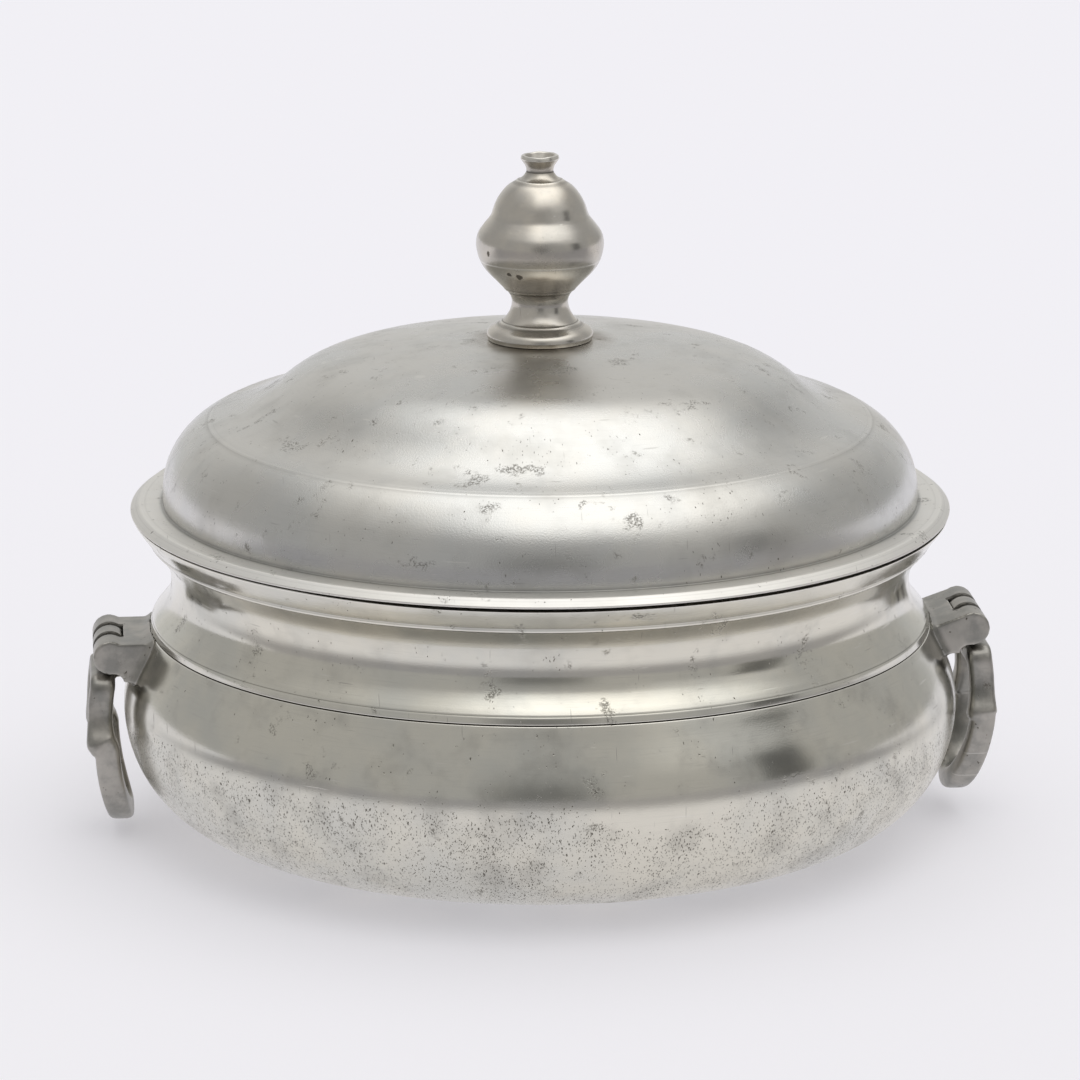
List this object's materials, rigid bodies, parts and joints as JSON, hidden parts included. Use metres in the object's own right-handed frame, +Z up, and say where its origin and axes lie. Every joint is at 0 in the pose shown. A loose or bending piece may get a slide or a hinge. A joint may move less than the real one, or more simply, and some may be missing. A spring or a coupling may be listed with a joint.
{
  "type": "soup tureen",
  "caption": "Round pewter tureen for serving soup: bellied bowl with a hollow neck, lift-off domed lid with a turned knob, and hinged stirrup handles that drop against its sides.",
  "frame": {"origin": "centre of the flat base, on the table", "axes": "+Z up along the axis the bowl and lid are turned on, +X towards the right handle, -Y towards the viewer of the picture"},
  "size_m": [0.2796, 0.256, 0.2082],
  "materials": {
    "bowl_pewter": "worn satin pewter, turned, pitted low on the belly",
    "lid_pewter": "worn satin pewter, turned, with scattered pits",
    "finial_pewter": "polished pewter, rubbed by hands",
    "handle_pewter": "dull cast pewter"
  },
  "bodies": {
    "bowl": {"bowl_basin": "bowl_pewter", "bowl_shoulder": "bowl_pewter", "left_hinge_bracket": "handle_pewter", "left_hinge_pin": "handle_pewter", "right_hinge_bracket": "handle_pewter", "right_hinge_pin": "handle_pewter"},
    "lid": {"lid_dome": "lid_pewter", "lid_bezel": "lid_pewter", "finial_stem": "finial_pewter", "finial_bell": "finial_pewter"},
    "left_handle": {"left_handle": "handle_pewter"},
    "right_handle": {"right_handle": "handle_pewter"}
  },
  "joints": [
    {"name": "lid_lift", "type": "slide", "parent": "bowl", "child": "lid", "axis": [0, 0, 1], "range_m": [0, 0.12]},
    {"name": "left_handle_swing", "type": "hinge", "parent": "bowl", "child": "left_handle", "pos_m": [-0.132, 0, 0.0586], "axis": [0, 1, 0], "range_deg": [-4, 176]},
    {"name": "right_handle_swing", "type": "hinge", "parent": "bowl", "child": "right_handle", "pos_m": [0.132, 0, 0.0616], "axis": [0, -1, 0], "range_deg": [-4, 176]}
  ]
}
